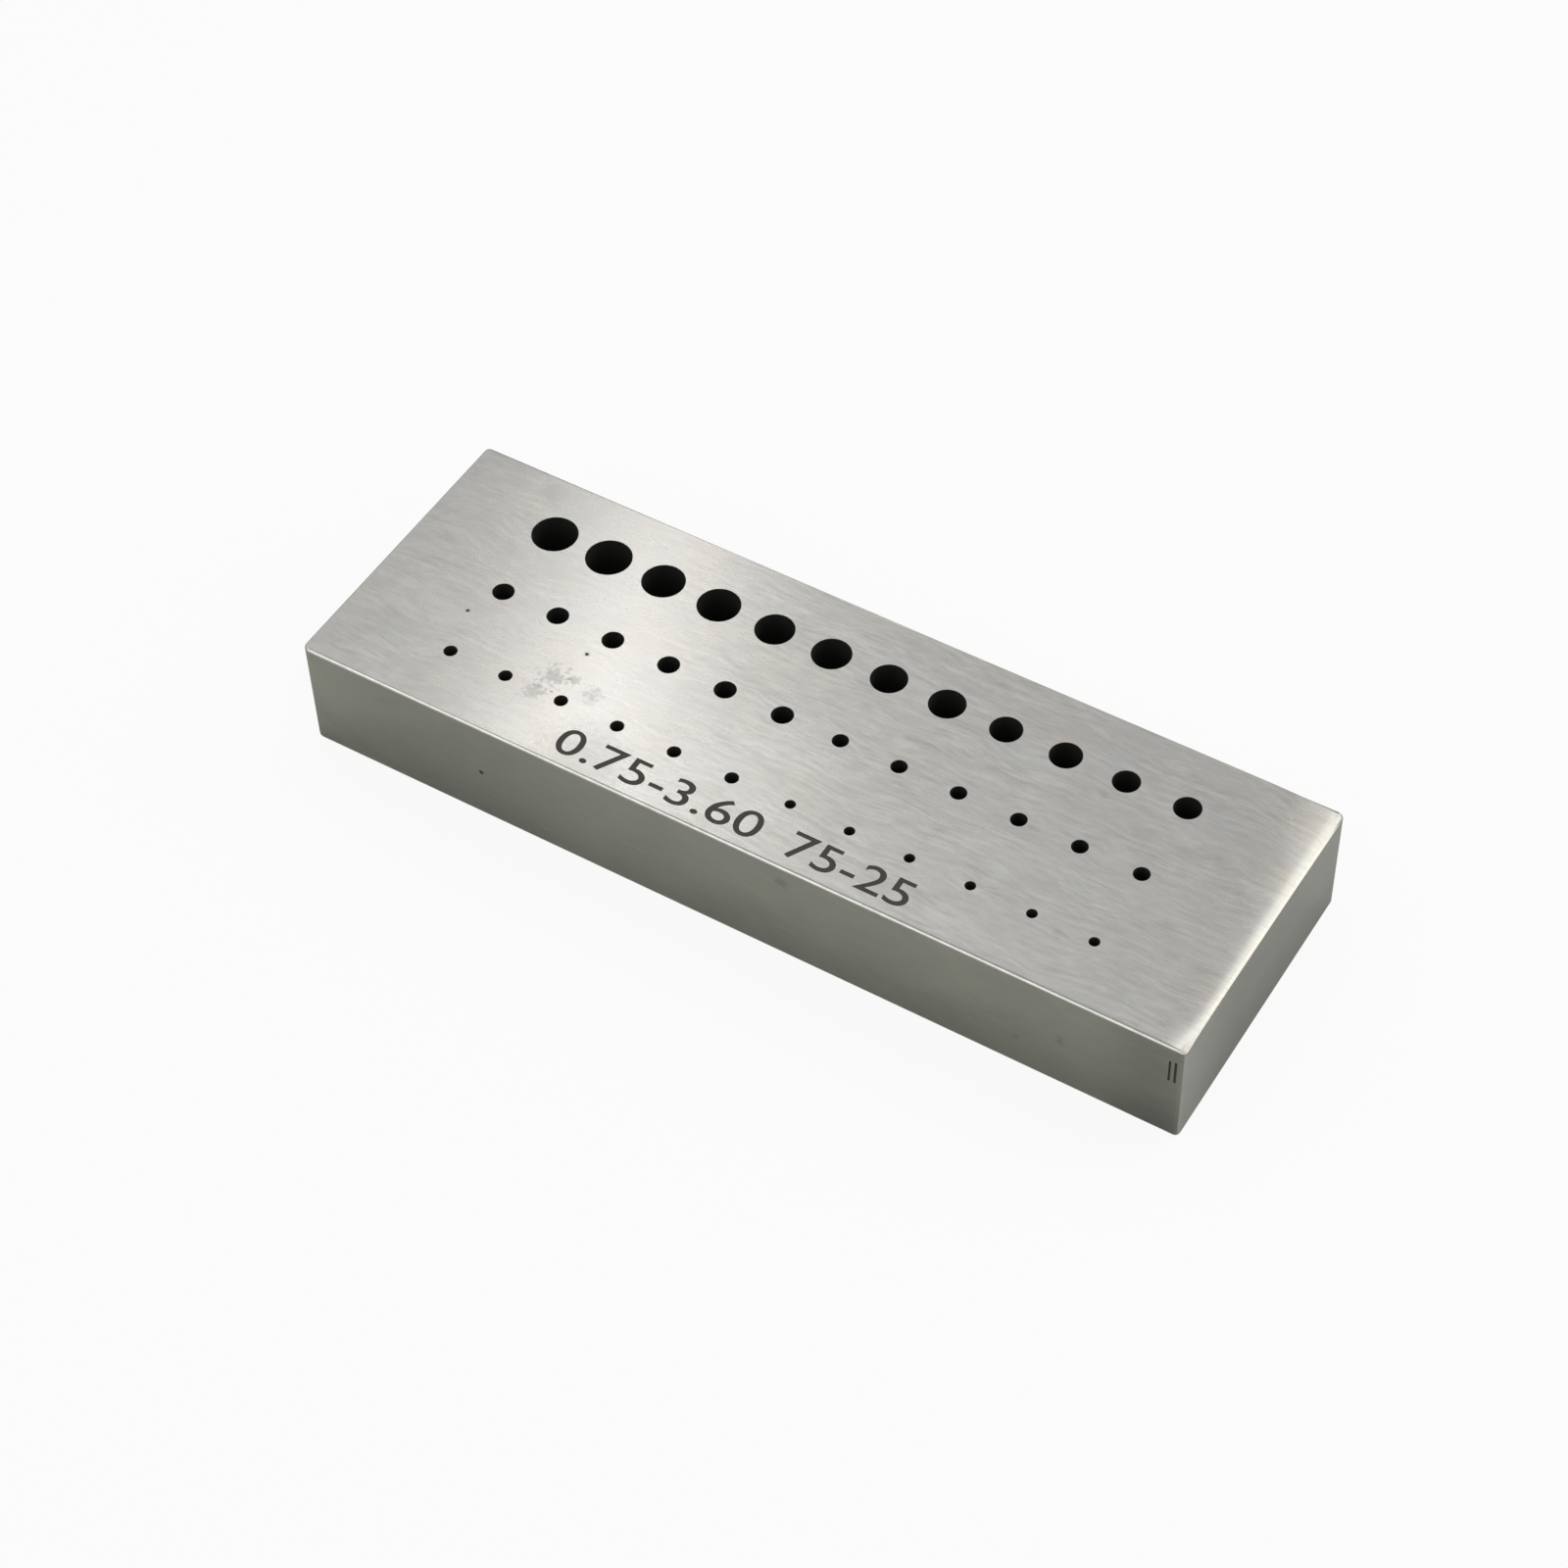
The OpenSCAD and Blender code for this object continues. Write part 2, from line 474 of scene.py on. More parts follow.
def side_material(name, plane, tone, marks, scratches, painted_fades, foot_shade):
    """A side, ground less finely than the faces, with painted light and shade for each fade along it and
    painted shade darkening its foot.
    """
    material, sheet = new_material(name)
    space = face_space(sheet, plane)
    grain = {"Vector": space, "Length": 2.2, "Spacing": 0.3, "Wave": 0.2, "Broken": 0.6}
    lines = grouped(sheet, "Grinding lines", grain)
    haze = grouped(sheet, "Cloudy haze", {"Vector": space, "Size": 5.0})
    smudges_or_painted_patches = add_marks(sheet, space, "Smudge", marks)
    light_scratches = add_marks(sheet, space, "Scratch", scratches)
    value = sheet.math("MULTIPLY", lines, 0.06)
    value = sheet.math("ADD", value, sheet.math("MULTIPLY", haze, 0.12))
    value = sheet.math("ADD", value, sheet.math("MULTIPLY", light_scratches, 0.2))
    value = sheet.math("SUBTRACT", value, sheet.math("MULTIPLY", smudges_or_painted_patches, 0.35))
    along, up = sheet.add("ShaderNodeSeparateXYZ", {0: space}).outputs[:2]
    # Painted light and shade: the side made lighter or darker along its length
    for start, end, share in painted_fades:
        painted_fade = sheet.math("MULTIPLY", sheet.step(along, start, end), share)
        value = sheet.math("ADD", value, painted_fade)
    # Painted shade: the side darker towards its foot, next to the floor
    low = sheet.step(up, FOOT_SHADE_START, 0.0)
    value = sheet.math("SUBTRACT", value, sheet.math("MULTIPLY", low, foot_shade))
    factor = sheet.math("ADD", value, 1.0)
    base = sheet.mix(haze, warmed(tone, 0.98), warmed(tone, 1.02))
    colour = sheet.add("ShaderNodeVectorMath", {0: base, "Scale": factor}, operation="SCALE").outputs[0]
    rough = sheet.math("ADD", SIDE_ROUGHNESS, sheet.math("MULTIPLY", haze, 0.05))
    finish_shader(sheet, colour, rough, lines, bump=0.0005 * MM, radial="Z", stretch=0.4)
    return material


def edge_material(tones):
    """Edges and rims, rubbed bright, and brightened further as a painted highlight along the edges."""
    material, sheet = new_material("rubbed_edge_and_painted_highlight")
    space = face_space(sheet, "XYZ")
    wear = sheet.noise(space, 1.4, 4.0, 0.6)
    colour = sheet.mix(sheet.step(wear, 0.3, 0.7), shaded(tones.edge, 0.9), shaded(tones.edge, 1.05))
    finish_shader(sheet, colour, sheet.between(wear, 0.34, 0.24), wear, bump=0.001 * MM)
    return material


def scale_material(tones):
    """The heat scale inside the holes: nearly black and dull."""
    material, sheet = new_material("heat_scale")
    space = face_space(sheet, "XYZ")
    crust = sheet.noise(space, 3.0, 4.0, 0.6)
    colour = sheet.mix(crust, shaded(tones.scale, 0.7), shaded(tones.scale, 1.3))
    finish_shader(sheet, colour, sheet.between(crust, 0.6, 0.85), crust, metallic=0.0, bump=0.01 * MM)
    return material


def etch_material(tones):
    """The etched numbers and other dark marks: a dull dark grey with the grain just showing."""
    material, sheet = new_material("etched_mark")
    space = face_space(sheet, "XYZ")
    crust = sheet.noise(space, 4.0, 3.0, 0.6)
    colour = sheet.mix(crust, shaded(tones.etch, 0.75), shaded(tones.etch, 1.25))
    finish_shader(sheet, colour, sheet.between(crust, 0.5, 0.7), crust, metallic=0.3, bump=0.004 * MM)
    return material


def smudge_or_painted_patch(x, y, z, radius, strength, ragged):
    """One smudge or patch of painted light and shade; a negative strength lightens."""
    return {"Centre": (x, y, z), "Radius": radius, "Strength": strength, "Ragged": ragged}


def scratch(x, y, z, degrees, length, width, strength):
    """One scratch, turned by so many degrees out of the grain."""
    angle = math.radians(degrees)
    return {"Centre": (x, y, z), "Angle": angle, "Length": length, "Width": width, "Strength": strength}


# Marks of use, and on the upper face two patches of painted light and shade: along the grain, across it and
# off the face, all in millimetres, then what each function names
TOP_SMUDGES_AND_PAINTED_PATCHES = [
    smudge_or_painted_patch(-19.3, -5.3, 10.0, 1.3, 0.8, 1.1),
    smudge_or_painted_patch(-17.9, -4.9, 10.0, 0.7, 0.7, 0.9),
    smudge_or_painted_patch(-15.8, -5.5, 10.0, 0.9, 0.6, 1.0),
    smudge_or_painted_patch(-19.8, -7.3, 10.0, 1.1, 0.7, 1.1),
    smudge_or_painted_patch(24.9, -7.75, 10.0, 0.6, 0.4, 0.8),
    smudge_or_painted_patch(21.75, 5.25, 10.0, 0.5, 0.35, 0.8),
    smudge_or_painted_patch(-28.75, -3.0, 10.0, 0.33, 0.7, 0.3),
    smudge_or_painted_patch(-18.4, -2.2, 10.0, 0.36, 0.7, 0.3),
    # Painted shade that dims the highlight near the front
    smudge_or_painted_patch(-13.0, -11.8, 10.0, 5.5, 0.5, 0.3),
    # Painted light that widens the highlight towards the middle
    smudge_or_painted_patch(-1.0, -5.5, 10.0, 8.0, -0.35, 0.3),
]
TOP_LIGHT_SCRATCHES = [
    scratch(16.9, -4.2, 10.0, -7.8, 6.5, 0.18, 0.6),
    scratch(4.6, 3.75, 10.0, -8.0, 4.0, 0.1, 0.8),
    scratch(35.4, 2.9, 10.0, -3.6, 3.4, 0.1, 0.7),
    scratch(34.6, 9.6, 10.0, -58.0, 2.0, 0.12, 0.9),
    scratch(34.5, 9.7, 10.0, 25.0, 1.5, 0.12, 0.7),
]
TOP_DARK_SCRATCHES = [
    scratch(-9.6, 10.15, 10.0, 2.0, 2.4, 0.09, 0.5),
    scratch(-19.8, 10.3, 10.0, -14.0, 2.4, 0.1, 0.4),
]
FRONT_SMUDGES = [
    smudge_or_painted_patch(5.05, 8.25, -12.5, 0.7, 0.6, 0.6),
    smudge_or_painted_patch(27.9, 4.9, -12.5, 0.6, 0.5, 0.8),
    smudge_or_painted_patch(24.4, 3.1, -12.5, 0.4, 0.5, 0.6),
]
FRONT_SCRATCHES = [scratch(-7.0, 4.45, -12.5, 2.0, 4.0, 0.1, 0.4)]
# Painted light and shade along a side: where its tone starts to change, where it is changed in full, and by
# what share
FRONT_PAINTED_FADES = [(-10.0, -26.0, -0.09), (-27.0, -37.0, 0.05), (29.0, 36.0, -0.26)]
END_PAINTED_FADES = [(-3.0, -12.5, 0.24), (3.0, 12.0, 0.03)]
# Painted shade at a side's foot, next to the floor: how high it starts to darken, and by what share at most
FOOT_SHADE_START = 6.0
FRONT_FOOT_SHADE = 0.15
END_FOOT_SHADE = 0.08


# The bar


def holes():
    """Every hole as its place and radius, from the record's bore mounts."""
    found = []
    for mount in frame["record"]["mounts"]:
        if mount["kind"] == "bore":
            found.append((Vector(mount["pos_m"][:2]), mount["dims"]["r_mm"] * MM))
    return found


def weight_edges(mesh, radius_of, largest):
    """Gives each edge its share of the largest radius, for the Bevel modifier."""
    name = "bevel_weight_edge"
    weights = mesh.attributes.get(name) or mesh.attributes.new(name, "FLOAT", "EDGE")
    for edge in mesh.edges:
        first, second = (mesh.vertices[i].co for i in edge.vertices)
        weights.data[edge.index].value = radius_of(first, second) / largest


def corner_radius(sizes, point):
    """The upright edge's radius at the corner nearest this point."""
    if point.y < 0:
        return sizes.front_left_radius if point.x < 0 else sizes.front_right_radius
    return sizes.back_left_radius if point.x < 0 else sizes.back_right_radius


def add_bar(sizes):
    """The bar before drilling, with its upright edges and then the edges of its two ground faces rounded."""
    deselect_all()
    centre = (CAD_LOW + CAD_HIGH) / 2
    bpy.ops.mesh.primitive_cube_add(size=1.0, location=centre, scale=CAD_HIGH - CAD_LOW)
    bar = bpy.context.active_object
    bar.name = bar.data.name = BLOCK_NAME
    set_in_place(bar)

    def upright(first, second):
        stands = (first - second).xy.length < TOUCH
        return corner_radius(sizes, first) if stands else 0.0

    left = (sizes.front_left_radius, sizes.back_left_radius)
    largest = max(*left, sizes.front_right_radius, sizes.back_right_radius)
    weight_edges(bar.data, upright, largest)
    apply_modifier(bar, "BEVEL", width=largest, segments=8, limit_method="WEIGHT")

    def rim(first, second):
        if abs(first.z - second.z) > TOUCH:
            return 0.0
        share = 0.0
        # The upper edges' radius grows to the worn edge's on the way round the right corners
        if first.z > centre.z:
            inward = RIGHT - (first.x + second.x) / 2
            share = max(0.0, 1 - inward / corner_radius(sizes, first))
        return sizes.edge_radius + (sizes.worn_edge_radius - sizes.edge_radius) * share

    weight_edges(bar.data, rim, sizes.worn_edge_radius)
    # The clamp would narrow every edge to suit the short ones round the corners
    apply_modifier(
        bar,
        "BEVEL",
        width=sizes.worn_edge_radius,
        segments=6,
        limit_method="WEIGHT",
        use_clamp_overlap=False,
    )
    return bar


def level(face):
    """Whether a face belongs to one of the two ground faces."""
    return abs(face.normal.z) > LEVEL


def cut_lines(bar, wanted, across, places):
    """Cuts the wanted faces with planes square to X or Y at these places."""
    for place in places:
        select_faces(bar.data, wanted)
        edit(bar, "FACE")
        point = (place, 0.0, 0.0) if across == "X" else (0.0, place, 0.0)
        normal = (1.0, 0.0, 0.0) if across == "X" else (0.0, 1.0, 0.0)
        bpy.ops.mesh.bisect(plane_co=point, plane_no=normal)
        close_edit()


def cut_grid(bar):
    """Cuts both ground faces through the middles of the holes, so no face has a hole inside it."""
    columns = sorted({round(place.x, 6) for place, radius in holes()})
    rows = sorted({round(place.y, 6) for place, radius in holes()})
    cut_lines(bar, level, "X", columns)
    cut_lines(bar, level, "Y", rows)
    return rows


# The cuts that let the dubbing bend the upper face: how many lie across it, how much closer they get
# towards the end, how many there are to each gap between the rows, and how far both kinds keep clear
DUB_CUTS = 22
DUB_CROWDING = 1.6
DUB_CUTS_PER_GAP = 10
DUB_MARGIN = 0.3 * MM
SIDE_MARGIN = 1 * MM
# How much of the back corner's further drop the front corner has
FRONT_CORNER_SHARE = 0.8


def drop_at(sizes, inward, y):
    """How far the upper face drops, this far in from the right end's rounding and at this Y."""
    behind = (y - FRONT - sizes.least_place) / (BACK - FRONT - sizes.least_place)
    before = 1 - (y - FRONT) / sizes.least_place
    corner = behind**2 if behind > 0 else FRONT_CORNER_SHARE * before**4
    width = sizes.dubbing_width + sizes.corner_width * max(0.0, behind) ** 2
    depth = sizes.dubbing_depth + sizes.corner_dubbing * corner
    lip = sizes.lip_depth * (1 + corner**0.5)
    share = max(0.0, 1 - inward / width)
    lip_share = max(0.0, 1 - inward / sizes.lip_width)
    return depth * share**2 + lip * lip_share**2.5


def dub_right_end(bar, sizes, rows):
    """Lets the upper face fall away towards the right end, most at the back and then at the front."""
    end = RIGHT - sizes.worn_edge_radius
    zone = end - (sizes.dubbing_width + sizes.corner_width) - DUB_MARGIN
    cut_lines(bar, lambda face: level(face) and face.center.z > TOP / 2, "X", [zone])

    def dubbed(face):
        return level(face) and face.center.z > TOP / 2 and face.center.x > zone

    def dubbed_or_rim(face):
        return face.center.z > TOP - sizes.worn_edge_radius and face.center.x > zone

    shares = [(1 - i / DUB_CUTS) ** DUB_CROWDING for i in range(1, DUB_CUTS)]
    cut_lines(bar, dubbed, "X", [end - (end - zone) * share for share in shares])
    step = (rows[1] - rows[0]) / DUB_CUTS_PER_GAP
    half = int((BACK - SIDE_MARGIN) / step)
    cut_lines(bar, dubbed_or_rim, "Y", [step * i for i in range(-half, half + 1)])
    group = bar.vertex_groups.new(name="dubbing")
    deepest = sizes.dubbing_depth + sizes.corner_dubbing + 2 * sizes.lip_depth
    for vertex in bar.data.vertices:
        x, y, z = vertex.co
        if z < TOP - sizes.worn_edge_radius - TOUCH:
            continue
        # Down the rounding the drop fades, but its foot keeps a tenth
        fade = min(1.0, 1 - (TOP - z) / sizes.worn_edge_radius + 0.1)
        weight = drop_at(sizes, max(0.0, end - x), y) / deepest * max(0.0, fade)
        if weight > 0:
            group.add([vertex.index], weight, "REPLACE")
    apply_modifier(
        bar,
        "DISPLACE",
        direction="Z",
        strength=-deepest,
        mid_level=0.0,
        vertex_group="dubbing",
    )
    bar.vertex_groups.clear()


LARGE_HOLE_SIDES = 96
SMALL_HOLE_SIDES = 64


def drill(bar, sizes):
    """Cuts every hole through the bar and breaks the edges of its two mouths."""
    overrun = 1 * MM
    cutters = []
    for place, radius in holes():
        sides = LARGE_HOLE_SIDES if radius > 1 * MM else SMALL_HOLE_SIDES
        bpy.ops.mesh.primitive_cylinder_add(
            vertices=sides,
            radius=radius,
            depth=TOP - BOTTOM + 2 * overrun,
            location=(*place, (TOP + BOTTOM) / 2),
            rotation=(0, 0, math.pi / sides),
        )
        cutters.append(bpy.context.active_object)
    cutter = join_all(cutters)
    set_in_place(cutter)
    cutter.data.materials.append(bpy.data.materials["heat_scale"])
    cut_away(bar, cutter)
    select_edges(bar.data, on_a_mouth)
    edit(bar, "EDGE")
    dark = bar.data.materials.find("heat_scale")
    bpy.ops.mesh.bevel(offset=sizes.rim_break, segments=2, material=dark)
    close_edit()


def on_a_mouth(first, second):
    """Whether an edge runs round a hole's mouth in one of the two ground faces."""
    rise = abs(first.z - second.z)
    off_face = min(abs(first.z - TOP), abs(first.z - BOTTOM))
    if max(rise, off_face) >= TOUCH:
        return False
    for place, radius in holes():
        if all(abs((end.xy - place).length - radius) < TOUCH for end in (first, second)):
            # A longer one crosses the mouth
            return (first - second).length < radius / 2
    return False


class STAKINGBLOCK_OT_bar(bpy.types.Operator):
    """Models the drilled bar with its worn edges"""

    bl_idname = "staking_block.bar"
    bl_label = "Drilled bar"

    def execute(self, context):
        sizes = context.scene.staking_block_sizes
        bar = add_bar(sizes)
        bar.data.materials.append(bpy.data.materials["ground_face"])
        rows = cut_grid(bar)
        dub_right_end(bar, sizes, rows)
        drill(bar, sizes)
        return {"FINISHED"}


# Size of the letters before they are fitted to the width and height wanted
FIRST_LETTER_SIZE = 3.6 * MM
# The plain numbers: the range of the holes and the length and width of the block, in millimetres
NUMBERS = [
    {"text": "0.75-3.60", "left": -15.6, "width": 17.5},
    {"text": "75-25", "left": 4.3, "width": 10.1},
]


def add_number(text, left, width, sizes):
    """One etched number as a solid that reaches from the etch's floor to above the upper face."""
    deselect_all()
    bpy.ops.object.text_add(location=(0, 0, 0))
    words = bpy.context.active_object
    words.data.body = text
    words.data.size = FIRST_LETTER_SIZE
    words.data.resolution_u = 6
    words.data.offset = sizes.digit_stroke
    words.data.extrude = sizes.etch_depth
    bpy.ops.object.convert(target="MESH")
    number = bpy.context.active_object
    low = Vector(number.bound_box[0])
    high = Vector(number.bound_box[6])
    scale = sizes.digit_height / (high.y - low.y)
    number.scale = (width * MM / (high.x - low.x), scale, 1.0)
    number.location = (left * MM - low.x * number.scale.x, FRONT + sizes.baseline - low.y * scale, TOP)
    set_in_place(number)
    edit(number, "VERT")
    bpy.ops.mesh.select_all(action="SELECT")
    bpy.ops.mesh.remove_doubles(threshold=TOUCH / 4)
    bpy.ops.mesh.normals_make_consistent(inside=False)
    close_edit()
    return number


class STAKINGBLOCK_OT_numbers(bpy.types.Operator):
    """Etches the plain numbers along the front of the upper face"""

    bl_idname = "staking_block.numbers"
    bl_label = "Etched numbers"

    def execute(self, context):
        sizes = context.scene.staking_block_sizes
        numbers = [add_number(one["text"], one["left"], one["width"], sizes) for one in NUMBERS]
        cutter = join_all(numbers)
        cutter.data.materials.clear()
        cutter.data.materials.append(bpy.data.materials["etched_mark"])
        cut_away(bpy.data.objects[BLOCK_NAME], cutter)
        return {"FINISHED"}


# Two upright nicks near the front right corner as X, Z, width and height, and small pits as their place
# and radius, all in millimetres
NICKS = [(36.4, 7.25, 0.17, 2.2), (36.85, 7.3, 0.19, 2.3)]
TOP_PITS = [(-28.75, -3.0, 0.14), (-18.4, -2.2, 0.15)]
FRONT_PITS = [(-21.5, 4.9, 0.2)]
WEAR_DEPTH = 0.05 * MM


def add_nick(x, z, width, height):
    """One nick's cutter: a narrow slip standing in the front face."""
    bpy.ops.mesh.primitive_cube_add(
        size=1.0,
        location=(x * MM, FRONT, z * MM),
        scale=(width * MM, 2 * WEAR_DEPTH, height * MM),
    )
    return bpy.context.active_object


def add_pit(place, radius, axis):
    """One pit's cutter: a ball centred on the surface and flattened along this axis."""
    scale = [radius * MM, radius * MM, radius * MM]
    scale[axis] = WEAR_DEPTH
    bpy.ops.mesh.primitive_ico_sphere_add(subdivisions=3, radius=1.0, location=place, scale=scale)
    return bpy.context.active_object


class STAKINGBLOCK_OT_wear(bpy.types.Operator):
    """Cuts the nicks and pits that use has left"""

    bl_idname = "staking_block.wear"
    bl_label = "Nicks and pits"

    def execute(self, context):
        cutters = [add_nick(*nick) for nick in NICKS]
        cutters += [add_pit((x * MM, y * MM, TOP), radius, 2) for x, y, radius in TOP_PITS]
        cutters += [add_pit((x * MM, FRONT, z * MM), radius, 1) for x, z, radius in FRONT_PITS]
        cutter = join_all(cutters)
        set_in_place(cutter)
        cutter.data.materials.append(bpy.data.materials["etched_mark"])
        cut_away(bpy.data.objects[BLOCK_NAME], cutter)
        return {"FINISHED"}


# The finishes


# A face of the upright edges rises less than this, and one of the right end's upper rounding looks less
# than this to the front or back, lies in the zone and is ground like the upper face down to a slope
UPRIGHT = 0.05
SIDEWAYS = 0.1
WORN_ZONE = 6 * MM
GROUND_SLOPE = 0.45


def finish_of(face):
    """The name of the material that a face of the ground bar gets, by which way it looks."""
    x, y, z = (abs(part) for part in face.normal)
    if z > SQUARE:
        return "ground_face"
    if y > SQUARE:
        return "long_side"
    if x > SQUARE:
        return "end_side"
    if z < UPRIGHT:
        return "long_side" if y > x else "end_side"
    if face.center.x > RIGHT - WORN_ZONE and y < SIDEWAYS and face.normal.z > 0:
        return "ground_face" if z > GROUND_SLOPE else "end_side"
    return "rubbed_edge_and_painted_highlight"


class STAKINGBLOCK_OT_materials(bpy.types.Operator):
    """Makes the steel, scale and etch materials"""

    bl_idname = "staking_block.materials"
    bl_label = "Materials"

    def execute(self, context):
        tones = context.scene.staking_block_tones
        grain_group()
        haze_group()
        scratch_group()
        smudge_group()
        ground_face_material(tones)
        front_marks_and_painted_light = (FRONT_SMUDGES, FRONT_SCRATCHES, FRONT_PAINTED_FADES, FRONT_FOOT_SHADE)
        side_material("long_side", "XZY", tones.side, *front_marks_and_painted_light)
        side_material("end_side", "YZX", tones.end, [], [], END_PAINTED_FADES, END_FOOT_SHADE)
        edge_material(tones)
        scale_material(tones)
        etch_material(tones)
        return {"FINISHED"}


class STAKINGBLOCK_OT_finish(bpy.types.Operator):
    """Gives each face of the bar its finish and ties the bar to the frame"""

    bl_idname = "staking_block.finish"
    bl_label = "Finishes"

    def execute(self, context):
        bar = bpy.data.objects[BLOCK_NAME]
        names = [material.name for material in bar.data.materials]
        for name in ("long_side", "end_side", "rubbed_edge_and_painted_highlight"):
            names.append(name)
            bar.data.materials.append(bpy.data.materials[name])
        for face in bar.data.polygons:
            if names[face.material_index] == "ground_face":
                face.material_index = names.index(finish_of(face))
        activate(bar)
        bpy.ops.object.shade_smooth_by_angle(angle=math.radians(35))
        for face in bar.data.polygons:
            if max(abs(part) for part in face.normal) > FLAT:
                face.use_smooth = False
        apply_modifier(bar, "WEIGHTED_NORMAL", keep_sharp=True, weight=80)
        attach(bar, "root")
        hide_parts("block")
        return {"FINISHED"}


# The stage

CAMERA_PLACE = Vector((96.03, -152.52, 214.81)) * MM
CAMERA_AIM = Vector((1.10, -5.67, 10.0)) * MM
CAMERA_ROLL = math.radians(-1.963)
CAMERA_LENS = 84.80


def add_camera():
    data = bpy.data.cameras.new("camera")
    data.lens = CAMERA_LENS
    data.sensor_width = 36.0
    data.clip_start = 10 * MM
    camera = bpy.data.objects.new("camera", data)
    bpy.context.scene.collection.objects.link(camera)
    look = (CAMERA_AIM - CAMERA_PLACE).to_track_quat("-Z", "Y")
    camera.rotation_mode = "QUATERNION"
    camera.rotation_quaternion = look @ Quaternion((0, 0, 1), CAMERA_ROLL)
    camera.location = CAMERA_PLACE
    bpy.context.scene.camera = camera


FLOOR_RADIUS = 3.0
# The floor lies this far under the block, so that their surfaces do not coincide
FLOOR_GAP = 0.01 * MM
# How much of the floor's look is plain white; the rest holds the shadow
FLOOR_WHITE = 0.9


def add_floor():
    """A white floor: full white to the camera and to reflections, but still holding a faint shadow."""
    deselect_all()
    height = BOTTOM - FLOOR_GAP
    bpy.ops.mesh.primitive_circle_add(
        vertices=96, radius=FLOOR_RADIUS, fill_type="NGON", location=(0, 0, height)
    )
    floor = bpy.context.active_object
    floor.name = "floor"
    material, sheet = new_material("floor")
    rays = sheet.add("ShaderNodeLightPath").outputs
    seen = sheet.math("ADD", rays["Is Camera Ray"], rays["Is Glossy Ray"], clamp=True)
    seen = sheet.math("ADD", seen, rays["Is Transmission Ray"], clamp=True)
    plain = sheet.add("ShaderNodeBsdfDiffuse", {"Color": (0.8, 0.8, 0.8, 1.0)})
    white = sheet.add("ShaderNodeEmission", {"Color": (1.0, 1.0, 1.0, 1.0), "Strength": 1.0})
    clear = sheet.add("ShaderNodeBsdfTransparent")
    # Under the block the floor stays dark, so that no white shows at the bottom of a hole
    place = sheet.add("ShaderNodeTexCoord").outputs["Object"]
    place = sheet.add("ShaderNodeSeparateXYZ", {0: place}).outputs
    beyond_x = sheet.math("GREATER_THAN", sheet.math("ABSOLUTE", place[0]), RIGHT - 1 * MM)
    beyond_y = sheet.math("GREATER_THAN", sheet.math("ABSOLUTE", place[1]), BACK - 1 * MM)
    open_floor = sheet.math("MAXIMUM", beyond_x, beyond_y)
    share = sheet.math("MULTIPLY", sheet.math("MULTIPLY", seen, open_floor), FLOOR_WHITE)
    mixed = sheet.add("ShaderNodeMixShader", {0: share, 1: plain.outputs[0], 2: white.outputs[0]})
    below = sheet.add("ShaderNodeNewGeometry").outputs["Backfacing"]
    # Seen from below, the underside reflects what is under the floor and not the floor that it rests on
    leaving = sheet.math("MAXIMUM", rays["Is Glossy Ray"], rays["Is Shadow Ray"])
    near = sheet.math("LESS_THAN", rays["Ray Length"], 20 * FLOOR_GAP)
    passed = sheet.math("MAXIMUM", below, sheet.math("MULTIPLY", leaving, near))
    last = sheet.add("ShaderNodeMixShader", {0: passed, 1: mixed.outputs[0], 2: clear.outputs[0]})
    sheet.add("ShaderNodeOutputMaterial", {"Surface": last.outputs[0]})
    floor.data.materials.append(material)


def only_reflected(card):
    """Lets reflections alone see this card."""
    card.visible_camera = False
    card.visible_diffuse = False
    card.visible_transmission = False
    card.visible_shadow = False
    card.visible_volume_scatter = False


def card_material(name, grey):
    material, sheet = new_material(name)
    plain = sheet.add("ShaderNodeBsdfDiffuse", {"Color": (grey, grey, grey, 1.0)})
    sheet.add("ShaderNodeOutputMaterial", {"Surface": plain.outputs[0]})
    return material


# The two cards' greys and their sizes in metres
MAT_GREY = 0.55
MAT_SIZE = 0.9
SCREEN_GREY = 0.4
SCREEN_RADIUS = 0.6
SCREEN_HEIGHT = 0.22


def add_cards():
    """A grey mat just above the floor and a low grey screen round the block, for its sides to reflect."""
    bpy.ops.mesh.primitive_plane_add(size=MAT_SIZE, location=(0, 0, BOTTOM + 0.02 * MM))
    mat = bpy.context.active_object
    mat.name = "table_mat"
    mat.data.materials.append(card_material("table_mat", MAT_GREY))
    only_reflected(mat)
    bpy.ops.mesh.primitive_cylinder_add(
        vertices=64,
        radius=SCREEN_RADIUS,
        depth=SCREEN_HEIGHT,
        end_fill_type="NOTHING",
        location=(0, 0, SCREEN_HEIGHT / 2),
    )
    screen = bpy.context.active_object
    screen.name = "screen"
    screen.data.materials.append(card_material("screen", SCREEN_GREY))
    only_reflected(screen)


def add_lamp(name, place, aim, size, brightness, colour, turn):
    """A soft rectangular lamp that looks at a point and is as bright as a white of that strength."""
    data = bpy.data.lights.new(name, "AREA")
    data.shape = "RECTANGLE"
    data.size, data.size_y = size
    data.energy = brightness * math.pi * size[0] * size[1]
    data.color = colour
    lamp = bpy.data.objects.new(name, data)
    bpy.context.scene.collection.objects.link(lamp)
    lamp.location = place
    lamp.rotation_mode = "QUATERNION"
    look = (Vector(aim) - Vector(place)).to_track_quat("-Z", "Y")
    lamp.rotation_quaternion = look @ Quaternion((0, 0, 1), math.radians(turn))
    lamp.visible_camera = False


SOFT_WHITE = (1.0, 0.99, 0.97)
WARM_WHITE = (1.0, 0.99, 0.9)
FRONT_WHITE = (1.0, 0.99, 0.96)
MIDDLE = (-0.005, 0.0, 0.01)
RIGHT_END = (0.037, 0.0, 0.01)
FRONT_SIDE = (-0.01, -0.0125, 0.01)
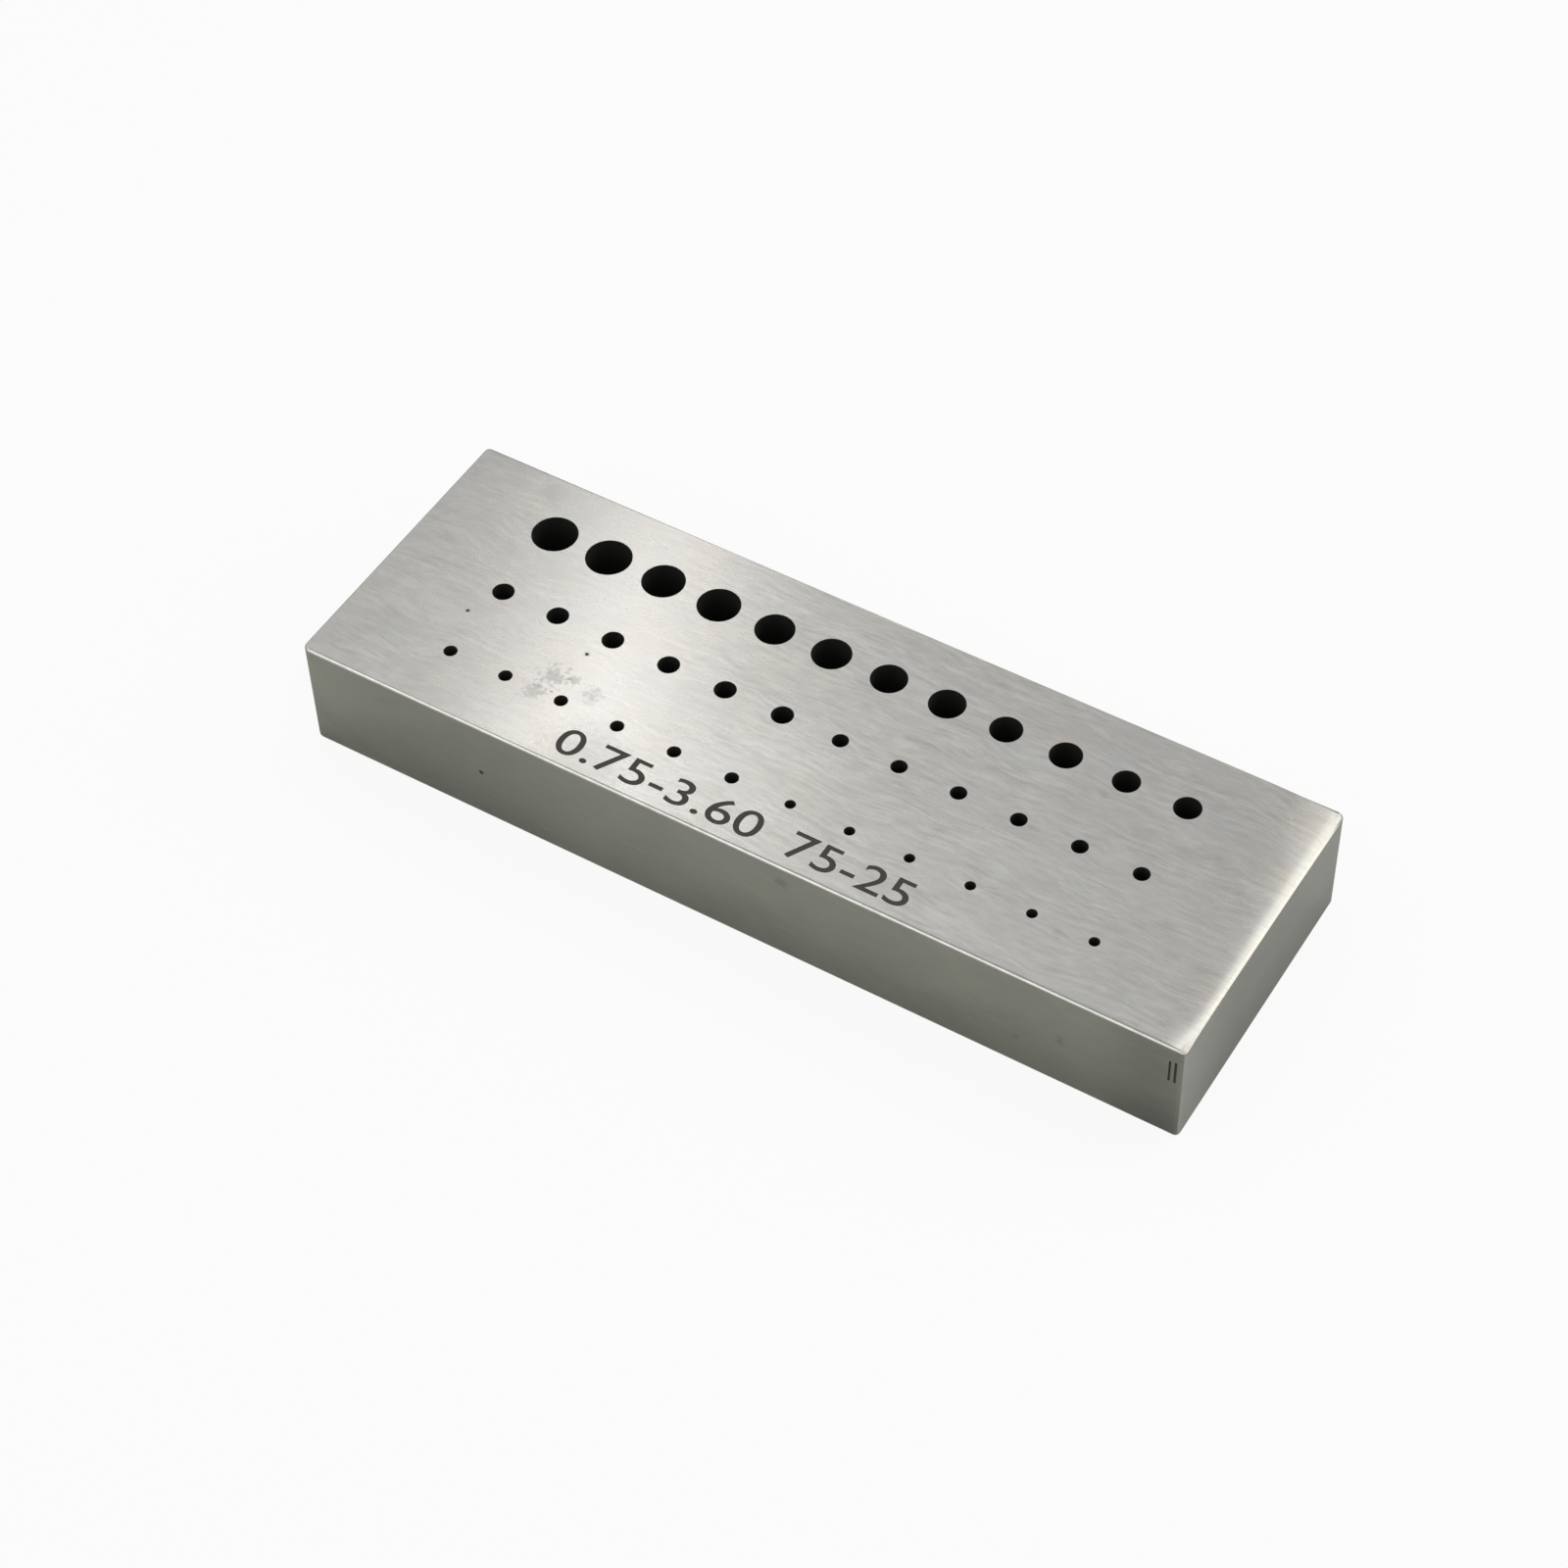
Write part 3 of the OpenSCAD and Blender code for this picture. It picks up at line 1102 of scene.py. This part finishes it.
# Each lamp: name, place and aim in metres, size, brightness, colour and turn in degrees
LAMPS = [
    ("top_strip", (-0.141, 0.15, 0.25), MIDDLE, (0.012, 0.095), 4.4, SOFT_WHITE, -32.0),
    ("top_front", (-0.107, 0.098, 0.255), MIDDLE, (0.041, 0.042), 1.1, SOFT_WHITE, -24.0),
    ("top_soft_left", (-0.133, 0.069, 0.253), MIDDLE, (0.075, 0.111), 0.58, SOFT_WHITE, 39.0),
    ("top_soft_right", (-0.068, 0.084, 0.256), MIDDLE, (0.089, 0.079), 0.42, SOFT_WHITE, 0.0),
    ("right_glow", (0.13, 0.135, 0.154), RIGHT_END, (0.11, 0.27), 1.6, WARM_WHITE, -40.0),
    ("front_glow", (-0.132, -0.156, 0.266), FRONT_SIDE, (0.25, 0.5), 0.55, FRONT_WHITE, 0.0),
]
WORLD_GREY = 0.59


class STAKINGBLOCK_OT_stage(bpy.types.Operator):
    """Sets up the camera, the white floor and the soft lamps"""

    bl_idname = "staking_block.stage"
    bl_label = "Stage"

    def execute(self, context):
        add_camera()
        add_floor()
        add_cards()
        for lamp in LAMPS:
            add_lamp(*lamp)
        world = bpy.data.worlds.new("studio")
        world.use_nodes = True
        grey = (WORLD_GREY, WORLD_GREY, WORLD_GREY, 1.0)
        world.node_tree.nodes["Background"].inputs["Color"].default_value = grey
        context.scene.world = world
        context.scene.view_settings.view_transform = "Standard"
        return {"FINISHED"}


class STAKINGBLOCK_PT_panel(bpy.types.Panel):
    """Lists the steps that build the block"""

    bl_idname = "STAKINGBLOCK_PT_panel"
    bl_label = "Staking block"
    bl_space_type = "VIEW_3D"
    bl_region_type = "UI"
    bl_category = "Staking block"

    def draw(self, context):
        for step in STEPS:
            self.layout.operator(step)
        for group in (context.scene.staking_block_sizes, context.scene.staking_block_tones):
            for name in group.bl_rna.properties.keys():
                if name not in ("rna_type", "name"):
                    self.layout.prop(group, name)


STEPS = [
    "staking_block.stage",
    "staking_block.materials",
    "staking_block.bar",
    "staking_block.numbers",
    "staking_block.wear",
    "staking_block.finish",
]
CLASSES = [
    StakingBlockSizes,
    StakingBlockTones,
    STAKINGBLOCK_OT_stage,
    STAKINGBLOCK_OT_materials,
    STAKINGBLOCK_OT_bar,
    STAKINGBLOCK_OT_numbers,
    STAKINGBLOCK_OT_wear,
    STAKINGBLOCK_OT_finish,
    STAKINGBLOCK_PT_panel,
]


def register():
    for one in CLASSES:
        bpy.utils.register_class(one)
    bpy.types.Scene.staking_block_sizes = bpy.props.PointerProperty(type=StakingBlockSizes)
    bpy.types.Scene.staking_block_tones = bpy.props.PointerProperty(type=StakingBlockTones)


def unregister():
    del bpy.types.Scene.staking_block_sizes
    del bpy.types.Scene.staking_block_tones
    for one in reversed(CLASSES):
        bpy.utils.unregister_class(one)


def main():
    register()
    bpy.ops.staking_block.stage()
    bpy.ops.staking_block.materials()
    bpy.ops.staking_block.bar()
    bpy.ops.staking_block.numbers()
    bpy.ops.staking_block.wear()
    bpy.ops.staking_block.finish()


if __name__ == "__main__":
    main()
